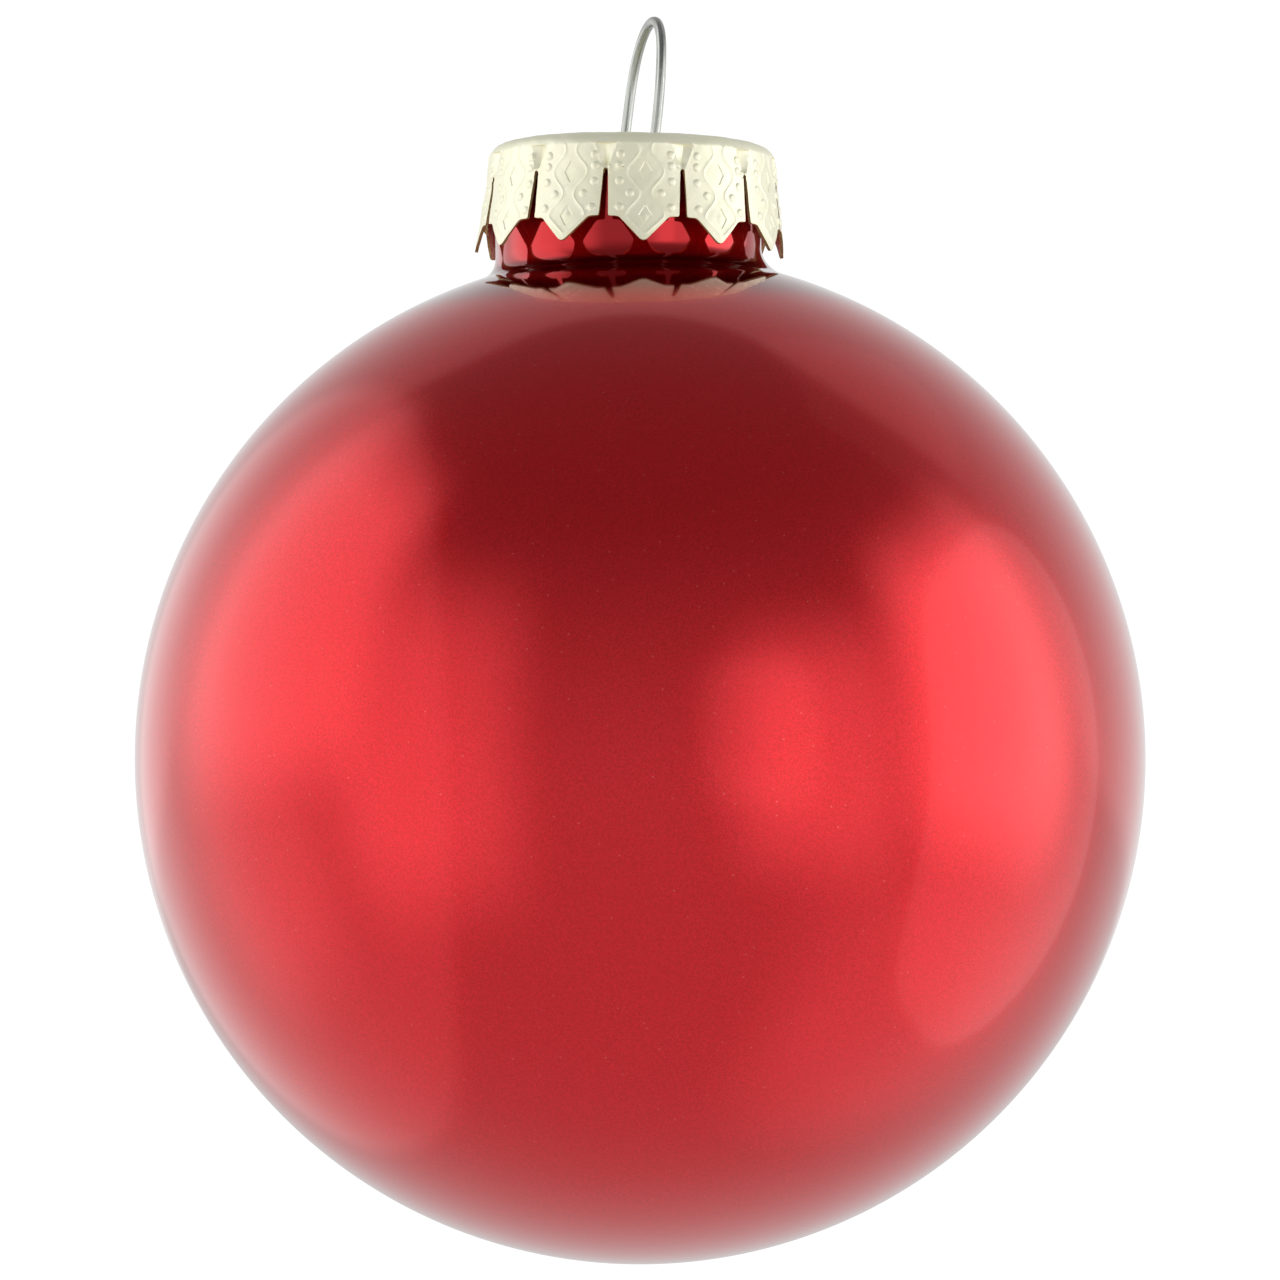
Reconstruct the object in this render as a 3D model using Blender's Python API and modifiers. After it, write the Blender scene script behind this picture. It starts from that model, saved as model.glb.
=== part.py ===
"""Hanging glass ball ornament: a blown glass ball, a stamped crown cap and a wire hanger.

Metres, +Z up.  The origin is the inner top of the hanger's loop, where a hook bears.
The loop lies in the YZ plane, leaning a little towards +X; the ball hangs straight down.
"""
import math

import bpy
from mathutils import Matrix, Vector

MM = 0.001
GAP = 0.3 * MM
MERGE = 0.01 * MM

# Glass ball, measured from the sphere's centre
BALL_RADIUS = 40.0 * MM
BALL_WALL = 0.7 * MM
NECK_RADIUS = 10.6 * MM
NECK_WALL = 0.9 * MM
FOOT_FILLET = 2.0 * MM
INNER_FILLET = 2.8 * MM
BALL_STEPS = 48
SPHERE_SEGMENTS = 20
FILLET_SEGMENTS = 5
LIP_SEGMENTS = 4

# Crown cap, measured down from its flat top
CAP_ABOVE_CENTRE = 48.65 * MM
SHEET = 0.25 * MM
SHOULDER_RADIUS = 1.4 * MM
SKIRT_TOP_RADIUS = 11.45 * MM
SKIRT_BEND_RADIUS = 11.57 * MM
SKIRT_TIP_RADIUS = 12.4 * MM
CAP_STEPS = 72
SHOULDER_SEGMENTS = 4

# Petals of the cap's skirt
PETALS = 12
PETAL_TURN = math.radians(18.0)
SLIT_TOP_DEPTH = 2.8 * MM
LEDGE_DEPTH = 6.4 * MM
TIP_DEPTH = 8.4 * MM
SLIT_TOP_HALF = 0.14 * MM
SLIT_FOOT_HALF = 0.36 * MM
LEDGE_WIDTH = 0.85 * MM
TIP_HALF = 0.25 * MM
NOTCH_CUTTER_REACH = 5.0 * MM

# Wire hanger
WIRE = 0.8 * MM
HOLE_RADIUS = 0.75 * MM
HOLE_SIDES = 16
HOLES_OFF_CENTRE = 0.65 * MM
LEG_HALF_SPACING = 4.2 * MM
LOOP_LENGTH = 10.7 * MM
ARCH_HEIGHT = 6.5 * MM
LOOP_LEAN = math.radians(7.6)
KNEE_HALF_SPACING = 8.8 * MM
KNEE_DEPTH = 9.0 * MM
FOOT_HALF_SPACING = 7.0 * MM
LEG_DEPTH = 15.0 * MM
STRAIGHT_DEPTH = 0.6 * MM
LEG_SEGMENTS = 15
ARCH_SEGMENTS = 16

# The hinge line runs along Y through both holes, half way through the sheet.  The holes are
# punched a little off the cap's centre, so the ball's axis passes beside the hinge line.
HINGE_DROP = LOOP_LENGTH - WIRE
HINGE = Vector((-HINGE_DROP * math.sin(LOOP_LEAN), 0.0, -HINGE_DROP * math.cos(LOOP_LEAN)))
AXIS_OFFSET = Vector((-HOLES_OFF_CENTRE, 0.0, 0.0))
CAP_TOP = SHEET / 2
BALL_CENTRE = CAP_TOP - CAP_ABOVE_CENTRE

OBJECT_NAME = "glass_ball_ornament"


def clear_scene():
    for old in list(bpy.data.objects):
        bpy.data.objects.remove(old, do_unlink=True)


def new_collection(name):
    collection = bpy.data.collections.new(name)
    bpy.context.scene.collection.children.link(collection)
    return collection


def principled(name, colour, roughness, metallic, coat=0.0):
    material = bpy.data.materials.new(name)
    material.use_nodes = True
    shader = material.node_tree.nodes["Principled BSDF"]
    shader.inputs["Base Color"].default_value = (*colour, 1.0)
    shader.inputs["Roughness"].default_value = roughness
    shader.inputs["Metallic"].default_value = metallic
    shader.inputs["Coat Weight"].default_value = coat
    material.diffuse_color = (*colour, 1.0)
    return material


def arc(centre, radius, start, end, segments):
    """Points of a circular arc in the profile's plane, both ends included, angles in degrees."""
    points = []
    for step in range(segments + 1):
        angle = math.radians(start + (end - start) * step / segments)
        points.append((centre[0] + radius * math.cos(angle), centre[1] + radius * math.sin(angle)))
    return points


def turned(name, profile, steps, material, collection):
    """A solid of revolution about Z from (radius, height) points."""
    mesh = bpy.data.meshes.new(name)
    edges = [(i, i + 1) for i in range(len(profile) - 1)]
    mesh.from_pydata([(radius, 0.0, height) for radius, height in profile], edges, [])
    solid = bpy.data.objects.new(name, mesh)
    collection.objects.link(solid)
    screw = solid.modifiers.new("turn", "SCREW")
    screw.steps = steps
    screw.render_steps = steps
    screw.use_merge_vertices = True
    screw.merge_threshold = MERGE
    screw.use_smooth_shade = True
    mesh.materials.append(material)
    return solid


def sphere_to_neck(sphere_radius, neck_radius, fillet):
    """Centre of the fillet between a sphere and a neck, and the angle where it meets the sphere."""
    centre_radius = neck_radius + fillet
    centre_height = math.sqrt((sphere_radius + fillet) ** 2 - centre_radius ** 2)
    return (centre_radius, centre_height), math.degrees(math.atan2(centre_height, centre_radius))


def make_glass_ball(collection):
    """Blown sphere with a short open neck and a rounded lip, one wall all the way round."""
    inner_radius = BALL_RADIUS - BALL_WALL
    bore_radius = NECK_RADIUS - NECK_WALL
    lip = NECK_WALL / 2
    lip_height = CAP_ABOVE_CENTRE - SHEET - GAP - lip
    inner_foot, inner_angle = sphere_to_neck(inner_radius, bore_radius, INNER_FILLET)
    outer_foot, outer_angle = sphere_to_neck(BALL_RADIUS, NECK_RADIUS, FOOT_FILLET)

    inner_wall = arc((0.0, 0.0), inner_radius, -90.0, inner_angle, SPHERE_SEGMENTS)
    inner_corner = arc(inner_foot, INNER_FILLET, 180.0 + inner_angle, 180.0, FILLET_SEGMENTS)
    rounded_lip = arc((bore_radius + lip, lip_height), lip, 180.0, 0.0, LIP_SEGMENTS)
    outer_corner = arc(outer_foot, FOOT_FILLET, 180.0, 180.0 + outer_angle, FILLET_SEGMENTS)
    outer_wall = arc((0.0, 0.0), BALL_RADIUS, outer_angle, -90.0, SPHERE_SEGMENTS)
    profile = inner_wall + inner_corner[1:] + rounded_lip + outer_corner + outer_wall[1:]
    glass = principled("red_pearl_glass", (0.62, 0.02, 0.03), 0.28, 0.8, coat=1.0)
    return turned("glass_ball", profile, BALL_STEPS, glass, collection)


def cap_profile():
    """Section of the stamped sheet: flat top, rounded shoulder, flared skirt."""
    shoulder = (SKIRT_TOP_RADIUS - SHOULDER_RADIUS, -SHOULDER_RADIUS)
    outside = [(0.0, 0.0)] + arc(shoulder, SHOULDER_RADIUS, 90.0, 0.0, SHOULDER_SEGMENTS)
    outside += [(SKIRT_BEND_RADIUS, -SLIT_TOP_DEPTH), (SKIRT_TIP_RADIUS, -TIP_DEPTH)]
    inside = [(SKIRT_TIP_RADIUS - SHEET, -TIP_DEPTH), (SKIRT_BEND_RADIUS - SHEET, -SLIT_TOP_DEPTH)]
    inside += arc(shoulder, SHOULDER_RADIUS - SHEET, 0.0, 90.0, SHOULDER_SEGMENTS)
    inside.append((0.0, -SHEET))
    return outside + inside


def notch_outline():
    """One side of the gap between two petals: (sideways, height) from the slit's top down."""
    half_pitch = SKIRT_TIP_RADIUS * math.tan(math.pi / PETALS)
    ledge_end = SLIT_FOOT_HALF + LEDGE_WIDTH
    tip_start = half_pitch - TIP_HALF
    corner = 2 * TIP_HALF
    below = TIP_DEPTH + GAP
    return [
        (SLIT_TOP_HALF, -SLIT_TOP_DEPTH),
        (SLIT_FOOT_HALF, -LEDGE_DEPTH),
        (ledge_end, -LEDGE_DEPTH),
        (tip_start - corner / 2, -TIP_DEPTH + corner / 2),
        (tip_start, -below),
    ]


def make_notch_cutter(index, collection):
    """A flat outline standing across one slit, thickened along the radius."""
    side = notch_outline()
    outline = side + [(-sideways, height) for sideways, height in reversed(side)]
    middle = (SKIRT_TOP_RADIUS + SKIRT_TIP_RADIUS) / 2
    mesh = bpy.data.meshes.new("notch_cutter")
    corners = [(middle, sideways, height) for sideways, height in outline]
    mesh.from_pydata(corners, [], [list(range(len(corners)))])
    cutter = bpy.data.objects.new("notch_cutter_%02d" % (index + 1), mesh)
    collection.objects.link(cutter)
    solidify = cutter.modifiers.new("depth", "SOLIDIFY")
    solidify.thickness = NOTCH_CUTTER_REACH
    solidify.offset = 0.0
    cutter.rotation_euler.z = PETAL_TURN + (index + 0.5) * 2 * math.pi / PETALS
    return cutter


def make_hole_cutter(side, collection):
    bpy.ops.mesh.primitive_cylinder_add(vertices=HOLE_SIDES, radius=HOLE_RADIUS, depth=8 * SHEET)
    cutter = bpy.context.active_object
    cutter.name = "hole_cutter_near" if side < 0 else "hole_cutter_far"
    for owner in list(cutter.users_collection):
        owner.objects.unlink(cutter)
    collection.objects.link(cutter)
    cutter.location = (HOLES_OFF_CENTRE, side * LEG_HALF_SPACING, -SHEET / 2)
    return cutter


def cut(solid, cutter):
    """Subtract a cutter that is placed in the solid's own frame."""
    cutter.parent = solid
    cutter.hide_render = True
    cutter.display_type = "WIRE"
    boolean = solid.modifiers.new(cutter.name, "BOOLEAN")
    boolean.operation = "DIFFERENCE"
    boolean.solver = "EXACT"
    boolean.object = cutter


def make_crown_cap(collection, cutters):
    """Thin stamped cap: twelve petals parted by slits, and two holes for the hanger."""
    tin = principled("champagne_tin", (0.82, 0.82, 0.66), 0.38, 1.0)
    cap = turned("crown_cap", cap_profile(), CAP_STEPS, tin, collection)
    cap.data.transform(Matrix.Translation((0.0, 0.0, CAP_TOP)))
    for index in range(PETALS):
        notch = make_notch_cutter(index, cutters)
        notch.location.z = CAP_TOP
        cut(cap, notch)
    for side in (-1, 1):
        hole = make_hole_cutter(side, cutters)
        hole.location.z += CAP_TOP
        cut(cap, hole)
    return cap


def leg_half_spacing(depth):
    """Distance of a leg from the loop's middle line, at a depth below the hinge line."""
    if depth <= STRAIGHT_DEPTH:
        return LEG_HALF_SPACING
    if depth <= KNEE_DEPTH:
        along = (depth - STRAIGHT_DEPTH) / (KNEE_DEPTH - STRAIGHT_DEPTH)
        spread = (1 - math.cos(math.pi * along)) / 2
        return LEG_HALF_SPACING + (KNEE_HALF_SPACING - LEG_HALF_SPACING) * spread
    along = (depth - KNEE_DEPTH) / (LEG_DEPTH - KNEE_DEPTH)
    return FOOT_HALF_SPACING + (KNEE_HALF_SPACING - FOOT_HALF_SPACING) * math.cos(math.pi / 2 * along)


def hanger_path():
    """Centre line of the wire in its own YZ plane, foot to foot, from the loop's inner top."""
    depths = [LEG_DEPTH * (1 - step / LEG_SEGMENTS) for step in range(LEG_SEGMENTS + 1)]
    rising = [(-leg_half_spacing(depth), -HINGE_DROP - depth) for depth in depths]
    arch_foot = WIRE / 2 - ARCH_HEIGHT
    arch = []
    for step in range(ARCH_SEGMENTS + 1):
        angle = math.pi * (1 - step / ARCH_SEGMENTS)
        arch.append((LEG_HALF_SPACING * math.cos(angle), arch_foot + ARCH_HEIGHT * math.sin(angle)))
    falling = [(-sideways, height) for sideways, height in reversed(rising)]
    return rising + arch + falling


def make_wire_hanger(collection):
    """Spring wire bent into a loop, with two legs that splay inside the neck."""
    curve = bpy.data.curves.new("wire_hanger", "CURVE")
    curve.dimensions = "3D"
    curve.bevel_depth = WIRE / 2
    curve.bevel_resolution = 2
    curve.use_fill_caps = True
    path = hanger_path()
    spline = curve.splines.new("POLY")
    spline.points.add(len(path) - 1)
    for point, (sideways, height) in zip(spline.points, path):
        point.co = (0.0, sideways, height, 1.0)
    curve.materials.append(principled("steel_wire", (0.50, 0.52, 0.50), 0.35, 1.0))
    hanger = bpy.data.objects.new("wire_hanger", curve)
    collection.objects.link(hanger)
    hanger.rotation_euler.y = LOOP_LEAN
    return hanger


def main():
    clear_scene()
    parts = new_collection(OBJECT_NAME)
    cutters = new_collection("cutters")
    make_wire_hanger(parts)
    hinge = bpy.data.objects.new("cap_hinge", None)
    parts.objects.link(hinge)
    hinge.location = HINGE
    cap = make_crown_cap(parts, cutters)
    cap.parent = hinge
    cap.location = AXIS_OFFSET
    ball = make_glass_ball(parts)
    ball.parent = cap
    ball.location = (0.0, 0.0, BALL_CENTRE)


main()
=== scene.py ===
import math

import bpy
import numpy as np
from mathutils import Matrix, Vector
from mathutils.geometry import delaunay_2d_cdt


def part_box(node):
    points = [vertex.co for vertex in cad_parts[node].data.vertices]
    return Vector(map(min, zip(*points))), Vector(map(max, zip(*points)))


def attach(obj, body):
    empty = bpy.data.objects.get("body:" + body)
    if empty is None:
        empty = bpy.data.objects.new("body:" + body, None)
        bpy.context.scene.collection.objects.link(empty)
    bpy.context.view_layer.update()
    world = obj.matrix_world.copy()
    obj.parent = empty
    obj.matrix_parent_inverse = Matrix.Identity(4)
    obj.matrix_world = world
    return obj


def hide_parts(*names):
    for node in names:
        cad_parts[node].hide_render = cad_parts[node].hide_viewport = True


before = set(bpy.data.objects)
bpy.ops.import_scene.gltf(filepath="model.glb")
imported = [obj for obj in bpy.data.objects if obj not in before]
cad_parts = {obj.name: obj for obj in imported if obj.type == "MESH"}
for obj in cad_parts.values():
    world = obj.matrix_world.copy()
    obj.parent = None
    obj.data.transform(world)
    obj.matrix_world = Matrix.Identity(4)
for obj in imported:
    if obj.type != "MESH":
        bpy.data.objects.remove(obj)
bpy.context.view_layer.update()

MM = 0.001

# Places and sizes read from the frame
CAP_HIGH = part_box("crown_cap")[1]
BALL_LOW, BALL_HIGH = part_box("glass_ball")
BALL_RADIUS = round((BALL_HIGH.y - BALL_LOW.y) / 2 / MM, 1)
AXIS_X = (BALL_LOW.x + BALL_HIGH.x) / 2
BALL_CENTRE = Vector((AXIS_X, 0.0, BALL_LOW.z + BALL_RADIUS * MM))
CAP_TOP = Vector((AXIS_X, 0.0, CAP_HIGH.z))
CAP_ABOVE_CENTRE = (CAP_TOP.z - BALL_CENTRE.z) / MM

# Ball, millimetres
BALL_WALL = 0.7
NECK_RADIUS = 10.6
NECK_WALL = 0.9
FOOT_FILLET = 2.3
INNER_FILLET = 2.8
NECK_BELOW_CAP_TOP = 0.65
BALL_STEPS = 224
# The blown neck stands to the camera's left above its foot, and is straight again inside the cap.
# Heights are in ball radii.
NECK_LEAN = 0.30
LEAN_FROM, LEAN_FULL = 0.945, 1.01
LEAN_ENDING, LEAN_GONE = 1.06, 1.14

# Heights of the lacquer's changes in the CAD frame: pearly up to a little below the neck's foot,
# then mirror-like, darkened round the foot by painted shade for the cap's dark reflection, and full
# again on the neck
MIRROR_ABOVE = BALL_CENTRE.z + 0.912 * BALL_RADIUS * MM
MIRROR_FADE = 1.3 * MM
NECK_SHADE_FROM = BALL_CENTRE.z + 0.865 * BALL_RADIUS * MM
NECK_SHADE_FULL_FROM = BALL_CENTRE.z + 0.920 * BALL_RADIUS * MM
NECK_RED_ABOVE = BALL_CENTRE.z + 0.979 * BALL_RADIUS * MM
NECK_RED_FADE = 0.3 * MM

# Cap, millimetres: the outer face, by distance along the sheet from a ring on the flat top
SHEET = 0.25
FLAT_RING = 9.5
SHOULDER_START = 10.05
SHOULDER_RADIUS = 1.4
SHOULDER_STEEP = math.radians(62.0)
CREASE_DEPTH = 0.95
SKIRT_STEEP = math.radians(85.5)
SKIRT_FLARE = math.radians(80.8)
FLARE_AFTER_CREASE = (1.2, 3.6)
SLIT_DEPTH = 2.95
LEDGE_DEPTH = 6.70
TIP_DEPTH = 8.60
SLIT_TOP_HALF = 0.18
SLIT_FOOT_HALF = 0.36
LEDGE_WIDTH = 0.80
# How far the slit's top and the ledge beside its foot slope down
EDGE_SLOPE = 0.05
PETALS = 12
PETAL_TURN = math.radians(18.0)
PETAL_PITCH = 2 * math.pi / PETALS
SPREAD_RADIUS = 11.8
HALF_PITCH = SPREAD_RADIUS * PETAL_PITCH / 2
FOOT_ROUND, LEDGE_ROUND, TIP_ROUND = 0.12, 0.22, 0.50
TIP_CUT = 0.20
CAP_TILT = math.radians(1.5)
CAP_TILT_DEPTH = 8.0
CAP_ASIDE = 0.08
# Outward bend of single petals at the tip, by the petal's number
BENT_PETALS = {3: 0.10, 4: 0.08, 5: 0.02, 8: 0.0, 9: -0.08, 10: -0.20, 11: -0.25}
PETAL_CROSS_CURL = 0.10
# A petal's bend and sideways sway grow along its free part by these powers
BEND_CURVE, SWAY_CURVE = 1.6, 1.5
# Spacing of mesh points along edges and over the faces, how much of it the faces' points are shaken
# by, and how near to a petal's edge they come
EDGE_STEP = 0.12
GRAIN = 0.20
GRAIN_SHAKE = 0.12
CLEAR_OF_EDGE = 0.05
TOP_GRAIN = 0.32
RIM_STEPS = int(round(2 * HALF_PITCH / GRAIN))
# The flat top. Rings of mesh points go round each hole, in hole radii. The sheet dishes down to the
# holes between two distances from their centres, and steps up inside a shallow ring. The skirt's
# unevenness fades out over a width inside the rim, and the middle has a low wave of its own.
HOLE_RINGS = (1.0, 1.25, 1.6)
HOLE_STEPS = 40
HOLE_SINK, HOLE_DISH = 0.10, (1.3, 0.7)
TOP_STEP, TOP_STEP_AT = 0.05, (8.6, 7.9)
RIM_RIPPLE_WIDTH = 2.5
TOP_WAVE = 0.02
# Gap between the two lines of mesh points that make the shoulder's crease
CREASE_PAIR = 0.06
SLIT_TOP_SPECK_REACH = 0.7
SHARP_FOLD = math.radians(32.0)
# The section is followed a little past the petals' tips, in small steps
SECTION_LENGTH, SECTION_POINTS = 12.0, 4801

# Wire, millimetres
WIRE_RADIUS = 0.4
HOLE_RADIUS = 0.75
HOLES_OFF_CENTRE = 0.65
LEG_HALF_SPACING = 4.2
LOOP_LENGTH = 10.7
ARCH_HEIGHT = 6.5
LOOP_LEAN = math.radians(7.6)
KNEE_HALF_SPACING = 8.8
KNEE_DEPTH = 9.0
FOOT_HALF_SPACING = 7.0
LEG_DEPTH = 15.0
STRAIGHT_DEPTH = 0.6
WIRE_SIDES = 24
WIRE_STEP = 0.28
# The clipped ends narrow to a share of the radius; between them the wire sways a little, in its
# plane and out of it
WIRE_END_BEVEL = 0.25
WIRE_END_SHARE = 0.86
WIRE_SWAY, WIRE_SWAY_OUT = 0.025, 0.03
WIRE_STEADY_ENDS = 3.0
WIRE_SHARP_FOLD = math.radians(50.0)
# How far the die lines' noise moves per millimetre along the wire: little, so that they run long
DIE_LINE_STRETCH = 0.06

# Camera
CAMERA_AZIMUTH = math.radians(-17.0)
CAMERA_DISTANCE = 10.2 * BALL_RADIUS * MM
CAMERA_LENS = 144.3
CAMERA_AIM_UP = 9.35 * MM
CAMERA_AIM_ACROSS = 0.135 * MM
CAMERA_ROLL = math.radians(0.9)


# ---------------------------------------------------------------- mesh helpers

def smoothstep(low, high, value):
    """Eases from 0 at low to 1 at high; low may be the larger of the two."""
    t = np.clip((value - low) / (high - low), 0.0, 1.0)
    return t * t * (3 - 2 * t)


def arc(centre, radius, start, end, segments):
    """Points of an arc, both ends included, angles in degrees."""
    angles = np.radians(np.linspace(start, end, segments + 1))
    return np.stack([centre[0] + radius * np.cos(angles), centre[1] + radius * np.sin(angles)], 1)


def mesh_object(name, points, faces, place):
    """An object whose points are given in millimetres from a place in the CAD frame."""
    mesh = bpy.data.meshes.new(name)
    mesh.from_pydata((np.asarray(points) * MM + np.array(place)).tolist(), [], faces)
    piece = bpy.data.objects.new(name, mesh)
    bpy.context.scene.collection.objects.link(piece)
    return piece


def tube_faces(rings, around):
    """Quads between rings of points, ring after ring."""
    faces = []
    for ring in range(rings - 1):
        low, high = ring * around, (ring + 1) * around
        for step in range(around):
            after = (step + 1) % around
            faces.append((low + step, high + step, high + after, low + after))
    return faces


def baked(piece):
    """Applies a piece's modifiers to its mesh."""
    bpy.context.view_layer.update()
    graph = bpy.context.evaluated_depsgraph_get()
    mesh = bpy.data.meshes.new_from_object(piece.evaluated_get(graph))
    piece.modifiers.clear()
    piece.data = mesh
    return piece


def welded(piece, distance):
    """Merges the points that lie on each other."""
    weld = piece.modifiers.new("weld", "WELD")
    weld.merge_threshold = distance
    return baked(piece)


# ---------------------------------------------------------------- node helpers

def set_socket(tree, socket, value):
    """Links a socket to another node's output, or gives it a plain value."""
    if isinstance(value, bpy.types.NodeSocket):
        tree.links.new(value, socket)
    else:
        socket.default_value = value


def node(tree, kind, inputs=None, **settings):
    """Adds a node; an input is set by its name or number to a value or a socket."""
    made = tree.nodes.new(kind)
    for key, value in settings.items():
        setattr(made, key, value)
    for key, value in (inputs or {}).items():
        set_socket(tree, made.inputs[key], value)
    return made


def maths(tree, operation, first, second=0.0, third=None):
    """A Math node's result; the third number is only for MULTIPLY_ADD."""
    inputs = {0: first, 1: second}
    if third is not None:
        inputs[2] = third
    return node(tree, "ShaderNodeMath", inputs, operation=operation).outputs[0]


def remap(tree, value, low, high, to_low=0.0, to_high=1.0, smooth=False):
    """Moves a value from one range to another, held at both ends."""
    inputs = {"Value": value, "From Min": low, "From Max": high, "To Min": to_low, "To Max": to_high}
    kind = "SMOOTHSTEP" if smooth else "LINEAR"
    return node(tree, "ShaderNodeMapRange", inputs, interpolation_type=kind).outputs["Result"]


def mixed(tree, factor, first, second):
    """A colour between two colours."""
    made = node(tree, "ShaderNodeMix", data_type="RGBA")
    wanted = {"Factor_Float": factor, "A_Color": first, "B_Color": second}
    for socket in made.inputs:
        if socket.identifier in wanted:
            set_socket(tree, socket, wanted[socket.identifier])
    return next(socket for socket in made.outputs if socket.identifier == "Result_Color")


def noise(tree, vector, scale, detail=2.0, roughness=0.5):
    """A noise texture's value, between 0 and 1."""
    inputs = {"Vector": vector, "Scale": scale, "Detail": detail, "Roughness": roughness}
    return node(tree, "ShaderNodeTexNoise", inputs).outputs["Fac"]


def mix_value(tree, factor, first, second):
    """A plain number between two numbers."""
    made = node(tree, "ShaderNodeMix", data_type="FLOAT")
    for socket, value in zip(made.inputs[0:1] + made.inputs[2:4], (factor, first, second)):
        set_socket(tree, socket, value)
    return made.outputs[0]


def new_material(name):
    """A material with only a Principled shader, and its tree, shader and object coordinates."""
    material = bpy.data.materials.new(name)
    material.use_nodes = True
    tree = material.node_tree
    shader = tree.nodes["Principled BSDF"]
    where = node(tree, "ShaderNodeTexCoord").outputs["Object"]
    return material, tree, shader, where


def put(tree, shader, name, value):
    """Sets or links one of the shader's inputs."""
    set_socket(tree, shader.inputs[name], value)


# ---------------------------------------------------------------- materials

def pearl_lacquer():
    """Red pearl lacquer through clear glass: flake under a smooth coat, mirror-like on the neck, and
    painted shade round the neck's foot.
    """
    material, tree, shader, where = new_material("red_pearl_under_glass")
    height = node(tree, "ShaderNodeSeparateXYZ", {"Vector": where}).outputs[2]
    pearly = remap(tree, height, MIRROR_ABOVE, MIRROR_ABOVE - MIRROR_FADE, smooth=True)
    grain = noise(tree, where, 7500.0, 2.0, 0.7)
    cloud = noise(tree, where, 260.0, 3.0, 0.55)
    red = mixed(tree, remap(tree, grain, 0.38, 0.62), (0.54, 0.0008, 0.004, 1), (0.74, 0.006, 0.016, 1))
    red = mixed(tree, remap(tree, cloud, 0.3, 0.7, 0.0, 0.35), red, (0.61, 0.001, 0.006, 1))
    cells = node(tree, "ShaderNodeTexVoronoi", {"Vector": where, "Scale": 3600.0})
    pick = node(tree, "ShaderNodeSeparateColor", {"Color": cells.outputs["Color"]}).outputs[0]
    chosen = maths(tree, "GREATER_THAN", pick, 0.985)
    core = remap(tree, cells.outputs["Distance"], 0.30, 0.12)
    flake = maths(tree, "MULTIPLY", chosen, core)
    red = mixed(tree, maths(tree, "MULTIPLY", flake, 0.45), red, (1.0, 0.20, 0.20, 1))
    red = mixed(tree, pearly, (0.47, 0.002, 0.006, 1), red)
    # Painted shade: the red darkens round the neck's foot, standing in for the cap's dark underside
    # reflected there.
    neck_shade = remap(tree, height, NECK_SHADE_FROM, NECK_SHADE_FULL_FROM, 0.0, 0.6, smooth=True)
    below_neck = remap(tree, height, NECK_RED_ABOVE, NECK_RED_ABOVE - NECK_RED_FADE)
    neck_shade = maths(tree, "MULTIPLY", neck_shade, below_neck)
    red = mixed(tree, neck_shade, red, (0.10, 0.0005, 0.002, 1))
    put(tree, shader, "Base Color", red)
    put(tree, shader, "Metallic", remap(tree, pearly, 0.0, 1.0, 0.88, 0.80))
    pearl_rough = remap(tree, grain, 0.25, 0.75, 0.15, 0.21)
    put(tree, shader, "Roughness", mix_value(tree, pearly, 0.05, pearl_rough))
    put(tree, shader, "Coat Weight", 1.0)
    put(tree, shader, "Coat Roughness", 0.015)
    put(tree, shader, "Coat IOR", 1.36)
    bump = node(tree, "ShaderNodeBump", {"Height": grain, "Strength": 0.12, "Distance": 0.00002})
    put(tree, shader, "Normal", bump.outputs["Normal"])
    return material


def clear_lip():
    """The uncoated, fire-rounded rim of the neck, above the lacquer."""
    material, tree, shader, where = new_material("clear_glass_lip")
    ripple = noise(tree, where, 900.0, 2.0)
    put(tree, shader, "Base Color", mixed(tree, ripple, (0.93, 0.97, 0.95, 1), (0.86, 0.78, 0.76, 1)))
    put(tree, shader, "Roughness", remap(tree, ripple, 0.3, 0.7, 0.02, 0.08))
    put(tree, shader, "Transmission Weight", 0.85)
    put(tree, shader, "IOR", 1.5)
    return material


def lacquer_back():
    """The inside of the ball: the back of the pearl coat, dull and unevenly run."""
    material, tree, shader, where = new_material("lacquer_inside")
    runs = noise(tree, where, 420.0, 4.0, 0.6)
    tone = mixed(tree, remap(tree, runs, 0.3, 0.7), (0.34, 0.012, 0.016, 1), (0.52, 0.05, 0.05, 1))
    put(tree, shader, "Base Color", tone)
    put(tree, shader, "Metallic", 0.35)
    put(tree, shader, "Roughness", remap(tree, runs, 0.3, 0.7, 0.42, 0.62))
    return material


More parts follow.
